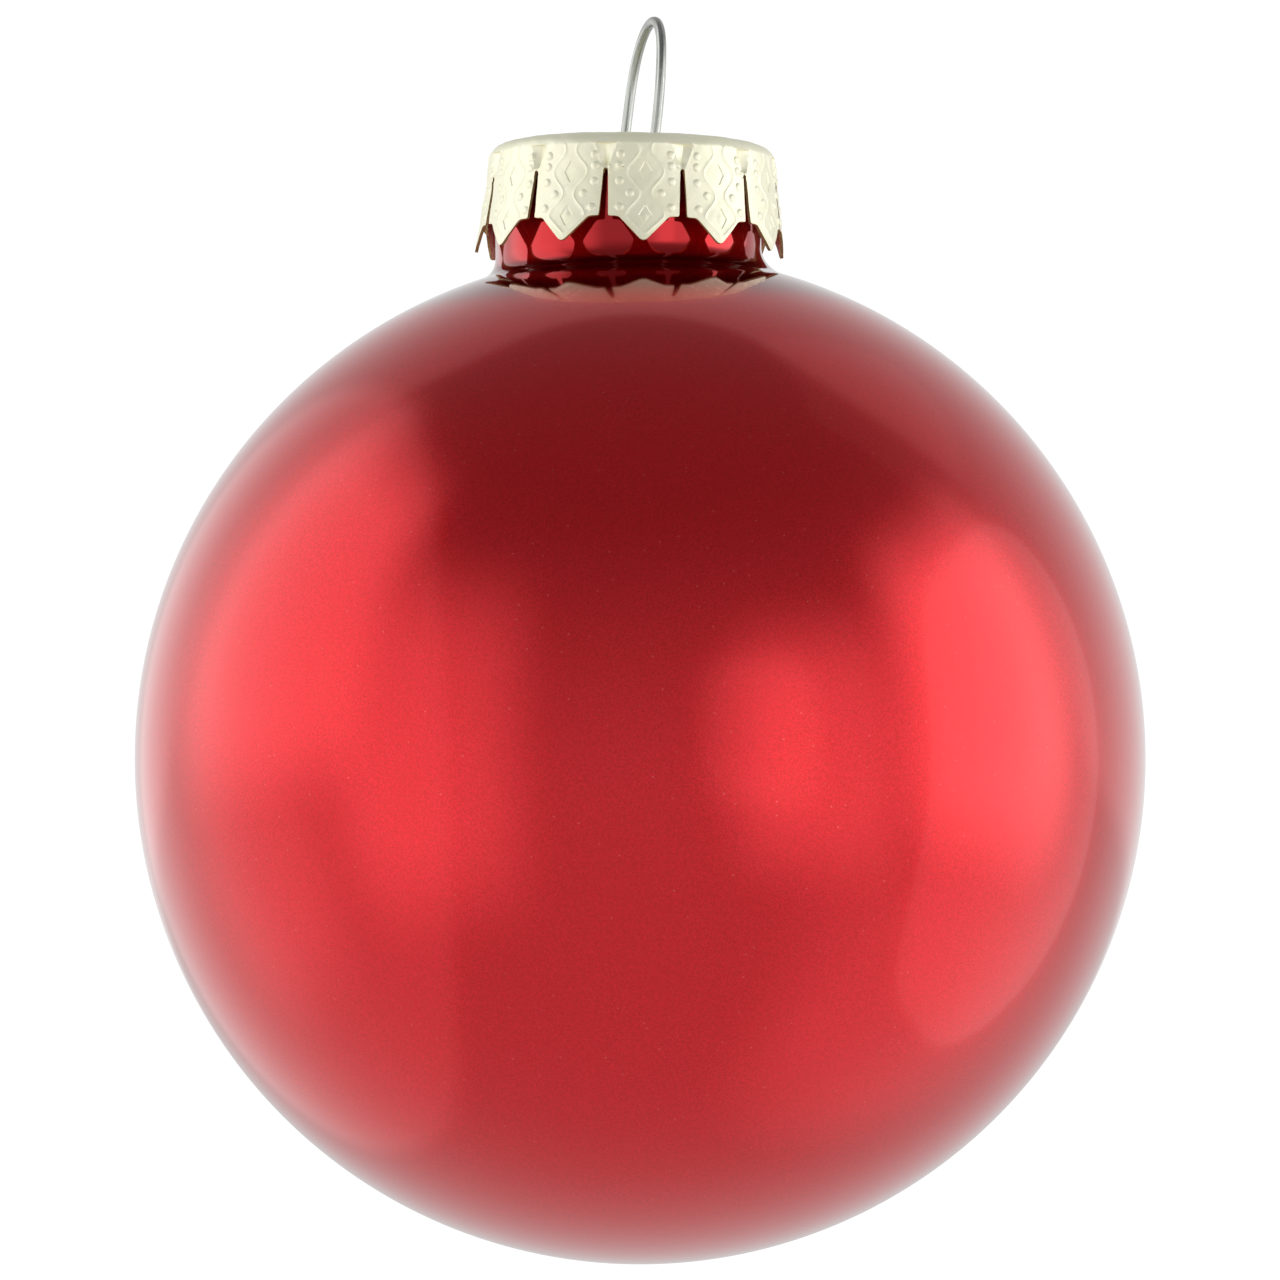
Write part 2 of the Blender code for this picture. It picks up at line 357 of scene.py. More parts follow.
def champagne_face():
    """Pale champagne lacquer on stamped tin: drawn lines down the skirt, pits, and a painted highlight
    along the cut edges.
    """
    material, tree, shader, where = new_material("champagne_cap_face")
    across = node(tree, "ShaderNodeMapping", {"Vector": where, "Scale": (1.0, 1.0, 0.08)})
    lines = noise(tree, across.outputs["Vector"], 5200.0, 2.0, 0.6)
    patch = noise(tree, where, 420.0, 3.0, 0.6)
    speck_chance = noise(tree, where, 2600.0, 3.0, 0.7)
    tone = mixed(tree, remap(tree, patch, 0.35, 0.65), (0.93, 0.92, 0.68, 1), (0.96, 0.94, 0.74, 1))
    tone = mixed(tree, remap(tree, lines, 0.35, 0.7, 0.0, 0.18), tone, (0.95, 0.94, 0.78, 1))
    # Dark specks come more often near the top of each slit.
    slit_top_nearness = node(tree, "ShaderNodeAttribute", attribute_name="near_slit_top").outputs["Fac"]
    speck_chance = maths(tree, "MULTIPLY_ADD", slit_top_nearness, 0.12, speck_chance)
    speck = maths(tree, "MULTIPLY", remap(tree, speck_chance, 0.70, 0.75), 0.7)
    tone = mixed(tree, speck, tone, (0.22, 0.20, 0.12, 1))
    # Painted highlight: a pale gold line along each cut edge, standing in for the rounded-over edge
    # catching the light.
    edge_highlight = node(tree, "ShaderNodeAttribute", attribute_name="painted_edge_highlight").outputs["Fac"]
    tone = mixed(tree, remap(tree, edge_highlight, 0.25, 0.7, 0.0, 0.85), tone, (0.97, 0.92, 0.66, 1))
    put(tree, shader, "Base Color", tone)
    put(tree, shader, "Metallic", 0.36)
    put(tree, shader, "Roughness", remap(tree, lines, 0.3, 0.7, 0.30, 0.42))
    height = maths(tree, "ADD", maths(tree, "MULTIPLY", lines, 0.5), patch)
    bump = node(tree, "ShaderNodeBump", {"Height": height, "Strength": 0.30, "Distance": 0.00003})
    put(tree, shader, "Normal", bump.outputs["Normal"])
    return material


def bronze_inside():
    """The cap's inner face: brown lacquer with a dull metal sheen."""
    material, tree, shader, where = new_material("bronze_cap_inside")
    patch = noise(tree, where, 700.0, 4.0, 0.6)
    tone = mixed(tree, remap(tree, patch, 0.3, 0.7), (0.70, 0.40, 0.28, 1), (0.86, 0.56, 0.42, 1))
    put(tree, shader, "Base Color", tone)
    put(tree, shader, "Metallic", 0.5)
    put(tree, shader, "Roughness", remap(tree, patch, 0.3, 0.7, 0.40, 0.55))
    return material


def gold_edge():
    """Bare cut edge of the sheet, warm yellow going brown."""
    material, tree, shader, where = new_material("gold_cut_edge")
    burr = noise(tree, where, 4200.0, 3.0, 0.7)
    tone = mixed(tree, remap(tree, burr, 0.3, 0.7), (0.30, 0.21, 0.09, 1), (0.62, 0.48, 0.22, 1))
    put(tree, shader, "Base Color", tone)
    put(tree, shader, "Metallic", 0.35)
    put(tree, shader, "Roughness", remap(tree, burr, 0.3, 0.7, 0.40, 0.55))
    return material


def drawn_steel():
    """Galvanised spring wire with long die lines and dull grey patches."""
    material, tree, shader, where = new_material("drawn_steel_wire")
    along = node(tree, "ShaderNodeAttribute", attribute_name="wire_place").outputs["Vector"]
    lines = noise(tree, along, 3.2, 3.0, 0.65)
    zinc = noise(tree, where, 1300.0, 3.0, 0.6)
    tone = mixed(tree, remap(tree, lines, 0.35, 0.65), (0.26, 0.27, 0.25, 1), (0.64, 0.65, 0.61, 1))
    tone = mixed(tree, remap(tree, zinc, 0.55, 0.7, 0.0, 0.6), tone, (0.50, 0.52, 0.50, 1))
    put(tree, shader, "Base Color", tone)
    put(tree, shader, "Metallic", 0.95)
    put(tree, shader, "Roughness", remap(tree, zinc, 0.3, 0.7, 0.22, 0.40))
    bump = node(tree, "ShaderNodeBump", {"Height": lines, "Strength": 0.35, "Distance": 0.00003})
    put(tree, shader, "Normal", bump.outputs["Normal"])
    return material


# ---------------------------------------------------------------- ball

def neck_foot(sphere_radius, neck_radius, fillet):
    """Centre of the fillet between sphere and neck, and the angle where it meets the sphere."""
    out = neck_radius + fillet
    up = math.sqrt((sphere_radius + fillet) ** 2 - out ** 2)
    return (out, up), math.degrees(math.atan2(up, out))


def ball_profile():
    """(radius, height) points from the inner pole to the outer pole, and each stretch's material."""
    inner, bore = BALL_RADIUS - BALL_WALL, NECK_RADIUS - NECK_WALL
    lip = NECK_WALL / 2
    lip_centre = (bore + lip, CAP_ABOVE_CENTRE - NECK_BELOW_CAP_TOP - lip)
    inner_foot, inner_angle = neck_foot(inner, bore, INNER_FILLET)
    outer_foot, outer_angle = neck_foot(BALL_RADIUS, NECK_RADIUS, FOOT_FILLET)
    bore_run = np.linspace((bore, inner_foot[1]), (bore, lip_centre[1]), 8)
    neck_run = np.linspace((NECK_RADIUS, lip_centre[1]), (NECK_RADIUS, outer_foot[1]), 20)
    stretches = [
        (arc((0, 0), inner, -90, inner_angle, 60), 2),
        (arc(inner_foot, INNER_FILLET, 180 + inner_angle, 180, 10), 2),
        (bore_run, 2),
        (arc(lip_centre, lip, 180, 0, 12), 1),
        (neck_run, 0),
        (arc(outer_foot, FOOT_FILLET, 180, 180 + outer_angle, 24), 0),
        (arc((0, 0), BALL_RADIUS, outer_angle, -90, 120), 0),
    ]
    points, zones = [stretches[0][0][0]], []
    for stretch, zone in stretches:
        for point in stretch[1:]:
            points.append(point)
            zones.append(zone)
    return np.array(points), zones


def make_ball():
    """The ball with its neck and lip, turned from one profile round a closed wall."""
    profile, zones = ball_profile()
    turns = np.arange(BALL_STEPS) * 2 * math.pi / BALL_STEPS
    count = len(profile)
    points = np.zeros((count, BALL_STEPS, 3))
    points[:, :, 0] = profile[:, :1] * np.cos(turns)
    points[:, :, 1] = profile[:, :1] * np.sin(turns)
    points[:, :, 2] = profile[:, 1:]
    lean = NECK_LEAN * smoothstep(LEAN_FROM * BALL_RADIUS, LEAN_FULL * BALL_RADIUS, profile[:, 1:])
    lean = lean * smoothstep(LEAN_GONE * BALL_RADIUS, LEAN_ENDING * BALL_RADIUS, profile[:, 1:])
    points[:, :, 0] -= lean * math.cos(CAMERA_AZIMUTH)
    points[:, :, 1] -= lean * math.sin(CAMERA_AZIMUTH)
    faces = tube_faces(count, BALL_STEPS)
    ball = mesh_object("pearl_glass_ball", points.reshape(-1, 3), faces, BALL_CENTRE)
    for material in (pearl_lacquer(), clear_lip(), lacquer_back()):
        ball.data.materials.append(material)
    ball.data.polygons.foreach_set("material_index", np.repeat(zones, BALL_STEPS).tolist())
    welded(ball, 0.001 * MM)
    ball.data.shade_smooth()
    return ball


# ---------------------------------------------------------------- cap

def cap_section():
    """Radius, height and slope of the sheet's outer face, by distance along it."""
    distance = np.linspace(0.0, SECTION_LENGTH, SECTION_POINTS)
    flat = SHOULDER_START - FLAT_RING
    slope = np.clip((distance - flat) / SHOULDER_RADIUS, 0.0, SHOULDER_STEEP)
    arc_depth = SHOULDER_RADIUS * (1 - math.cos(SHOULDER_STEEP))
    crease = flat + SHOULDER_RADIUS * SHOULDER_STEEP
    crease += (CREASE_DEPTH - arc_depth) / math.sin(SHOULDER_STEEP)
    flare_from, flare_full = (crease + after for after in FLARE_AFTER_CREASE)
    skirt = SKIRT_STEEP - (SKIRT_STEEP - SKIRT_FLARE) * smoothstep(flare_from, flare_full, distance)
    slope = np.where(distance > crease, skirt, slope)
    step = distance[1] - distance[0]
    radius = FLAT_RING + np.concatenate([[0], np.cumsum(np.cos(slope[:-1]) * step)])
    height = -np.concatenate([[0], np.cumsum(np.sin(slope[:-1]) * step)])
    return distance, radius, height, slope


SECTION = cap_section()


def along_at(depth):
    """Distance along the sheet at a depth below the cap's top."""
    return float(np.interp(depth, -SECTION[2], SECTION[0]))


CREASE_AT, SLIT_AT = along_at(CREASE_DEPTH), along_at(SLIT_DEPTH)
LEDGE_AT, TIP_AT = along_at(LEDGE_DEPTH), along_at(TIP_DEPTH)


def even_steps(points, spacing):
    """An open line's points, re-spaced evenly."""
    points = np.asarray(points, float)
    lengths = np.concatenate([[0], np.cumsum(np.linalg.norm(np.diff(points, axis=0), axis=1))])
    wanted = np.linspace(0, lengths[-1], max(2, int(round(lengths[-1] / spacing)) + 1))
    return np.stack([np.interp(wanted, lengths, points[:, axis]) for axis in (0, 1)], 1)


def rounded(before, here, after, radius, steps=5):
    """A short curve in place of the corner 'here'."""
    before, here, after = (np.array(point) for point in (before, here, after))
    start = here + (before - here) / np.linalg.norm(before - here) * radius
    end = here + (after - here) / np.linalg.norm(after - here) * radius
    t = np.linspace(0, 1, steps + 1)[:, None]
    return (1 - t) ** 2 * start + 2 * t * (1 - t) * here + t ** 2 * end


def petal_edge():
    """Half of a petal's free edge, from the slit's top down to the tip, (sideways, along)."""
    slit_top = (HALF_PITCH - SLIT_TOP_HALF, SLIT_AT + EDGE_SLOPE)
    slit_foot = (HALF_PITCH - SLIT_FOOT_HALF, LEDGE_AT)
    ledge = (HALF_PITCH - SLIT_FOOT_HALF - LEDGE_WIDTH, LEDGE_AT + EDGE_SLOPE)
    tip = (0.0, TIP_AT + TIP_CUT)
    far_ledge = (-ledge[0], ledge[1])
    line = [np.array([(HALF_PITCH, SLIT_AT), slit_top])]
    line.append(rounded(slit_top, slit_foot, ledge, FOOT_ROUND))
    line.append(rounded(slit_foot, ledge, tip, LEDGE_ROUND))
    line.append(rounded(ledge, tip, far_ledge, TIP_ROUND, 8)[:5])
    return even_steps(np.concatenate(line), EDGE_STEP)


PETAL_EDGE = petal_edge()


def edge_distance(points):
    """Distance of points of the flat sheet from the petal's free edge, on either side."""
    x, along = np.abs(points[:, 0]), points[:, 1]
    return np.min(np.hypot(x[:, None] - PETAL_EDGE[:, 0], along[:, None] - PETAL_EDGE[:, 1]), 1)


def inside_petal(points, margin=0.0):
    """Which points of the flat sheet lie on the petal, by more than a margin."""
    x, along = np.abs(points[:, 0]), points[:, 1]
    limit = np.interp(along, PETAL_EDGE[:, 1], PETAL_EDGE[:, 0])
    limit = np.where(along < SLIT_AT, HALF_PITCH, limit)
    below = along < TIP_AT + TIP_CUT - margin
    clear = edge_distance(points) > margin
    return (x < limit - margin * (along < SLIT_AT)) & below & clear & (along > margin)


# Stamping on each petal. Lozenges are pressed in, as (depth, half width, half height, sink, share
# of it that is a raised middle). Beads are pushed out, as (sideways, depth) from its middle line.
# Two ribs wave round the lozenges and run in to the tip.
LOZENGES = ((3.20, 0.48, 0.84, 0.060, 0.0), (6.67, 0.50, 0.84, 0.060, 0.46))
LOZENGE_WALL = 0.10
BEADS = ((2.0, 1.9), (2.05, 2.76), (2.05, 4.0), (1.22, 4.95), (1.98, 6.05))
BEAD_RADIUS = 0.35
BEAD_HEIGHT = 0.10
# Rings of mesh points on a bead: share of its radius, and number of points
BEAD_RINGS = ((0.35, 7), (0.7, 12), (1.0, 18))
RIB_HALF_WIDTH = 0.085
RIB_HEIGHT = 0.032
RIB_MIDDLE, RIB_SWING = 0.95, 0.50
RIB_WIDE_AT, RIB_PERIOD = 3.20, 3.47
RIB_TAPER = 1.02
RIB_START_BELOW_CREASE = 0.03
RIB_END_ABOVE_TIP, RIBS_MEET_ABOVE_TIP = 0.62, 0.42
# The pinched fold above each slit, and the wrinkles that fan out from its foot
PLEAT_GAP = 0.03
PLEAT_SHOULDER_WIDTH, PLEAT_SHOULDER_SHARE = 0.30, 0.10
PLEAT_LEAN_REACH = 1.1
WRINKLE_HEIGHT = 0.034
WRINKLE_RING, WRINKLE_RING_WIDTH = 0.45, 0.28
WRINKLES = 9


def rib_line(side):
    """Centre line of one of the two wavy ribs: waists between the lozenges, then in to the tip."""
    depth = np.linspace(CREASE_DEPTH + RIB_START_BELOW_CREASE, TIP_DEPTH - RIB_END_ABOVE_TIP, 60)
    swing = RIB_MIDDLE + RIB_SWING * np.cos(2 * math.pi * (depth - RIB_WIDE_AT) / RIB_PERIOD)
    taper = (TIP_DEPTH - RIBS_MEET_ABOVE_TIP - depth) * RIB_TAPER
    along = np.interp(depth, -SECTION[2], SECTION[0])
    return np.stack([side * np.minimum(swing, taper), along], 1)


def lozenge_ring(centre, half_wide, half_tall, scale):
    """Evenly spaced points round a lozenge, grown or shrunk by a scale."""
    corners = [(0, -1), (1, 0), (0, 1), (-1, 0), (0, -1)]
    middle = along_at(centre)
    ring = [(x * half_wide * scale, middle + y * half_tall * scale) for x, y in corners]
    sides = [even_steps(ring[i:i + 2], EDGE_STEP)[:-1] for i in range(4)]
    return np.concatenate(sides)


def pleat_edge(wide, side):
    """The fold that bounds the pinched triangle above a slit, beside the seam at x = 0."""
    top = (side * wide, CREASE_AT + 0.04)
    foot = (side * (SLIT_TOP_HALF + PLEAT_GAP), SLIT_AT - 0.05)
    return even_steps([top, foot], EDGE_STEP)


def line_distance(points, line):
    """Distance of each point to a line of points."""
    start, end = line[:-1], line[1:]
    run = end - start
    away = points[:, None, :] - start[None]
    t = np.clip((away * run).sum(2) / (run ** 2).sum(1), 0.0, 1.0)
    return np.min(np.linalg.norm(away - t[..., None] * run, axis=2), 1)


def pressed_pattern(points, shift):
    """Height of the stamping at points of the flat sheet."""
    here = points - np.array([shift, 0.0])
    height = np.zeros(len(points))
    for side in (-1, 1):
        away = line_distance(here, rib_line(side))
        height += RIB_HEIGHT * np.clip(1 - away / RIB_HALF_WIDTH, 0.0, 1.0)
    for centre, half_wide, half_tall, sink, inner in LOZENGES:
        out = np.abs(here[:, 0]) / half_wide + np.abs(here[:, 1] - along_at(centre)) / half_tall
        height -= sink * np.clip((1 + LOZENGE_WALL - out) / (2 * LOZENGE_WALL), 0.0, 1.0)
        if inner:
            height += sink * np.clip((inner + LOZENGE_WALL - out) / (2 * LOZENGE_WALL), 0.0, 1.0)
    for across, depth in BEADS:
        away = np.hypot(np.abs(here[:, 0]) - across, here[:, 1] - along_at(depth)) / BEAD_RADIUS
        height += BEAD_HEIGHT * np.sqrt(np.clip(1 - away ** 2, 0.0, 1.0)) * smoothstep(1.0, 0.75, away)
    return height


def ridge(away, width):
    """A smooth bump of height one across a line."""
    return np.exp(-(away / width) ** 2)


def pleat_depth(x, along, wide, deep):
    """Depth of the pinched triangle above a slit with its seam at x = 0, and wrinkles by its foot."""
    rise = (SLIT_AT - along) / (SLIT_AT - CREASE_AT)
    inside = (rise > -0.02) & (along > CREASE_AT + 0.01)
    half = SLIT_TOP_HALF + PLEAT_GAP + (wide - SLIT_TOP_HALF) * np.clip(rise, 0.0, 1.0)
    valley = np.clip(1 - np.abs(x) / half, 0.0, 1.0) * smoothstep(-0.02, 0.25, rise)
    beside = ridge(np.abs(x) - half - 0.05, PLEAT_SHOULDER_WIDTH) * (np.abs(x) > half)
    beside *= smoothstep(0.0, 0.3, rise)
    from_slit = np.hypot(x, along - SLIT_AT)
    spread = np.arctan2(x, SLIT_AT - along)
    wrinkle = np.sin(WRINKLES * spread + 40 * wide)
    wrinkle = wrinkle * ridge(from_slit - WRINKLE_RING, WRINKLE_RING_WIDTH)
    fold = -deep * valley - PLEAT_SHOULDER_SHARE * deep * beside
    return inside * fold + WRINKLE_HEIGHT * wrinkle


def petal_outline():
    """Points round a petal with its share of the shoulder: top, right seam and edge, then left."""
    rows = even_steps([(0, 0), (0, CREASE_AT)], GRAIN)[:, 1].tolist()
    rows += even_steps([(0, CREASE_AT + CREASE_PAIR), (0, SLIT_AT)], EDGE_STEP)[:, 1].tolist()
    top = [(-HALF_PITCH + 2 * HALF_PITCH * i / RIM_STEPS, 0.0) for i in range(RIM_STEPS)]
    right = [(HALF_PITCH, along) for along in rows[:-1]]
    right += [tuple(point) for point in PETAL_EDGE]
    return np.array(top + right + [(-x, along) for x, along in reversed(right[1:])][1:])


def feature_points(shape, left):
    """Mesh points along a petal's ribs, crease, folds, lozenges and beads, so that they stay crisp."""
    aside = np.array([shape["shift"], 0.0])
    lines = []
    for side in (-1, 1):
        rib = even_steps(rib_line(side) + aside, EDGE_STEP)
        normal = np.stack([-np.gradient(rib[:, 1]), np.gradient(rib[:, 0])], 1)
        normal /= np.linalg.norm(normal, axis=1)[:, None]
        lines += [rib + normal * RIB_HALF_WIDTH * offset for offset in (-1, 0, 1)]
    crease = np.linspace(-HALF_PITCH + GRAIN / 2, HALF_PITCH - GRAIN / 2, RIM_STEPS)
    for along in (CREASE_AT, CREASE_AT + CREASE_PAIR):
        lines.append(np.stack([crease, np.full(RIM_STEPS, along)], 1))
    lines.append(pleat_edge(shape["wide"], -1) + np.array([HALF_PITCH, 0.0]))
    lines.append(pleat_edge(left["wide"], 1) - np.array([HALF_PITCH, 0.0]))
    for centre, half_wide, half_tall, _, inner in LOZENGES:
        for scale in (1 + LOZENGE_WALL, 1 - LOZENGE_WALL) + ((0.5,) if inner else ()):
            lines.append(lozenge_ring(centre, half_wide, half_tall, scale) + aside)
    for across, depth in BEADS:
        for side in (-1, 1):
            middle = (side * across + shape["shift"], along_at(depth))
            lines.append(np.array([middle]))
            for share, count in BEAD_RINGS:
                lines.append(arc(middle, BEAD_RADIUS * share, 0, 360, count)[:-1])
    features = np.concatenate(lines)
    return features[inside_petal(features, CLEAR_OF_EDGE)]


def petal_sheet(shape, left):
    """One petal with its share of the shoulder as a flat triangulated sheet, (points, triangles)."""
    outline = petal_outline()
    loop = [(i, (i + 1) % len(outline)) for i in range(len(outline))]
    known = np.concatenate([outline, feature_points(shape, left)])
    fill = grid_points(GRAIN, RIM_STEPS)
    apart = np.min(np.hypot(*(fill[:, None, :] - known[None]).transpose(2, 0, 1)), 1)
    fill = fill[(apart > 0.55 * GRAIN) & inside_petal(fill, CLEAR_OF_EDGE)]
    points = np.concatenate([known, fill])
    found = delaunay_2d_cdt([Vector(point) for point in points], loop, [], 1, 1e-5)
    return np.array([tuple(point) for point in found[0]]), [tuple(face) for face in found[2]]


def grid_points(spacing, columns):
    """A slightly shaken triangular grid that covers a petal."""
    random = np.random.default_rng(5)
    height = spacing * math.sqrt(3) / 2
    grid = [((column + 0.5 * (row % 2)) * spacing, row * height)
            for row in range(1, int((TIP_AT + 1) / height)) for column in range(-columns, columns)]
    return np.array(grid) + random.uniform(-GRAIN_SHAKE, GRAIN_SHAKE, (len(grid), 2)) * spacing


# Small knocks unevenly round the rim, as (turn in degrees, distance from the rim's middle, depth)
RIM_KNOCKS = tuple(
    (23.7 * k + 9 * math.sin(2.3 * k), 0.35 * math.sin(5.1 * k), 0.05 + 0.03 * math.sin(3.7 * k))
    for k in range(15))
RIM_MIDDLE = 1.0
KNOCK_RADIUS = 0.22


def rim_knocks(turn, along):
    """Depth of the small knocks in the rounded rim."""
    depth = np.zeros_like(turn)
    for degrees, offset, deep in RIM_KNOCKS:
        aside = np.angle(np.exp(1j * (turn - math.radians(degrees)))) * SPREAD_RADIUS
        depth += deep * np.exp(-(aside ** 2 + (along - RIM_MIDDLE - offset) ** 2) / KNOCK_RADIUS ** 2)
    return depth


def sheet_ripple(turn, along):
    """Slow unevenness of flimsy stamped sheet, the same all the way round."""
    ripple = 0.022 * np.sin(5 * turn + 1.3) * np.cos(0.55 * along + 0.4)
    ripple += 0.010 * np.sin(17 * turn + 2.1 * along + 0.7)
    ripple += 0.006 * np.sin(43 * turn - 3.3 * along) + 0.003 * np.cos(71 * turn + 5.1 * along + 2.0)
    return ripple


def cap_point(turn, along, lift):
    """Places a point of the sheet: turned by an angle, lifted off the outer face."""
    radius = np.interp(along, SECTION[0], SECTION[1])
    height = np.interp(along, SECTION[0], SECTION[2])
    slope = np.interp(along, SECTION[0], SECTION[3])
    radius = radius + lift * np.sin(slope)
    height = height + lift * np.cos(slope)
    return np.stack([radius * np.cos(turn), radius * np.sin(turn), height], 1)


def seam_shift(x, along, skew):
    """Slides the sheet sideways round a seam at x = 0, so that its fold leans."""
    rise = np.clip((SLIT_AT - along) / (SLIT_AT - CREASE_AT), 0.0, 1.0)
    tent = np.clip(1 - np.abs(x) / PLEAT_LEAN_REACH, 0.0, 1.0) * smoothstep(-0.4, CREASE_AT, along)
    return skew * rise * tent


def petal_points(flat, index, shapes):
    """A petal's points in space: its flat sheet stamped, folded at both seams and wrapped round."""
    x, along = flat[:, 0], flat[:, 1]
    own, left = shapes[index], shapes[index - 1]
    free = np.clip((along - SLIT_AT) / (TIP_AT - SLIT_AT), 0.0, 1.0)
    sideways = x + seam_shift(x - HALF_PITCH, along, own["skew"])
    sideways = sideways + seam_shift(x + HALF_PITCH, along, left["skew"])
    sideways = sideways + own["sway"] * free ** SWAY_CURVE
    turn = PETAL_TURN + index * PETAL_PITCH + sideways / SPREAD_RADIUS
    lift = pressed_pattern(flat, own["shift"]) + sheet_ripple(turn, along) - rim_knocks(turn, along)
    lift += pleat_depth(x - HALF_PITCH, along, own["wide"], own["deep"])
    lift += pleat_depth(x + HALF_PITCH, along, left["wide"], left["deep"])
    lift += own["bend"] * free ** BEND_CURVE + own["twist"] * free * x / HALF_PITCH
    lift -= PETAL_CROSS_CURL * free * (np.abs(x) / HALF_PITCH) ** 2
    return cap_point(turn, along, lift)


def hole_centres():
    """The two punched holes, kept over the wire's legs although the cap sits askew."""
    slip = CAP_TILT_DEPTH * math.tan(CAP_TILT) - CAP_ASIDE
    across = Vector((math.cos(CAMERA_AZIMUTH), math.sin(CAMERA_AZIMUTH)))
    middle = Vector((HOLES_OFF_CENTRE, 0.0)) - slip * across
    return [(middle.x, middle.y + side * LEG_HALF_SPACING) for side in (-1, 1)]


def top_grid(holes):
    """A triangular grid over the flat top, clear of its rim and of the rings round the holes."""
    reach = int(FLAT_RING / TOP_GRAIN) + 2
    clear = HOLE_RADIUS * HOLE_RINGS[-1] + 0.12
    grid = []
    for row in range(-reach, reach + 1):
        for column in range(-reach, reach + 1):
            x = (column + 0.5 * (row % 2)) * TOP_GRAIN
            y = row * TOP_GRAIN * math.sqrt(3) / 2
            from_hole = min(math.dist((x, y), centre) for centre in holes)
            if from_hole > clear and math.hypot(x, y) < FLAT_RING - 0.2:
                grid.append((x, y))
    return grid


def top_lift(flat, holes):
    """Height of the flat top: sunk round the holes, with a shallow ring and a slow unevenness."""
    away = np.min([np.hypot(flat[:, 0] - centre[0], flat[:, 1] - centre[1]) for centre in holes], 0)
    turn = np.arctan2(flat[:, 1], flat[:, 0])
    out = np.hypot(flat[:, 0], flat[:, 1])
    blend = smoothstep(FLAT_RING - RIM_RIPPLE_WIDTH, FLAT_RING, out)
    lift = sheet_ripple(turn, np.zeros_like(turn)) * blend
    lift = lift - HOLE_SINK * smoothstep(*HOLE_DISH, away) + TOP_STEP * smoothstep(*TOP_STEP_AT, out)
    return lift + TOP_WAVE * np.sin(1.1 * flat[:, 0] + 0.6) * np.sin(0.9 * flat[:, 1]) * (1 - blend)


def top_disc():
    """The flat top inside the petals' ring, with two holes, as points and triangles."""
    rim = [PETAL_TURN + (petal + i / RIM_STEPS - 0.5) * PETAL_PITCH
           for petal in range(PETALS) for i in range(RIM_STEPS)]
    points = [(FLAT_RING * math.cos(turn), FLAT_RING * math.sin(turn)) for turn in rim]
    loops = [(i, (i + 1) % len(points)) for i in range(len(points))]
    holes = hole_centres()
    for centre in holes:
        for share in HOLE_RINGS:
            start = len(points)
            ring = arc(centre, HOLE_RADIUS * share, 0, 360, HOLE_STEPS)[:-1]
            points += [tuple(point) for point in ring]
            if share == HOLE_RINGS[0]:
                loops += [(start + i, start + (i + 1) % HOLE_STEPS) for i in range(HOLE_STEPS)]
    points += top_grid(holes)
    found = delaunay_2d_cdt([Vector(point) for point in points], loops, [], 1, 1e-6)
    flat = np.array([(point.x, point.y) for point in found[0]])
    faces = []
    for face in found[2]:
        middle = flat[list(face)].mean(0)
        if min(math.dist(middle, centre) for centre in holes) > HOLE_RADIUS:
            faces.append(tuple(face))
    return np.stack([flat[:, 0], flat[:, 1], top_lift(flat, holes)], 1), faces


def petal_shapes():
    """How each petal hangs, where its stamping sits, and how the pleat on its right is pinched."""
    random = np.random.default_rng(12)
    shapes = []
    for _ in range(PETALS):
        shapes.append({
            "wide": random.uniform(0.75, 1.05),
            "deep": random.uniform(0.28, 0.38),
            "skew": random.uniform(-0.30, 0.30),
            "shift": random.uniform(0.05, 0.55),
            "bend": random.uniform(-0.08, 0.14),
            "twist": random.uniform(-0.08, 0.08),
            "sway": random.uniform(-0.18, 0.02),
        })
    for index, bend in BENT_PETALS.items():
        shapes[index]["bend"] = bend
    return shapes


def tilt_cap(points):
    """Seats the cap a little askew on the neck, turned about a point just above the tips' level."""
    way = Vector((-math.sin(CAMERA_AZIMUTH), math.cos(CAMERA_AZIMUTH), 0.0))
    turn = np.array(Matrix.Rotation(CAP_TILT, 3, way))
    pivot = np.array([0.0, 0.0, -CAP_TILT_DEPTH])
    aside = CAP_ASIDE * np.array([math.cos(CAMERA_AZIMUTH), math.sin(CAMERA_AZIMUTH), 0.0])
    return (points - pivot) @ turn.T + pivot - aside


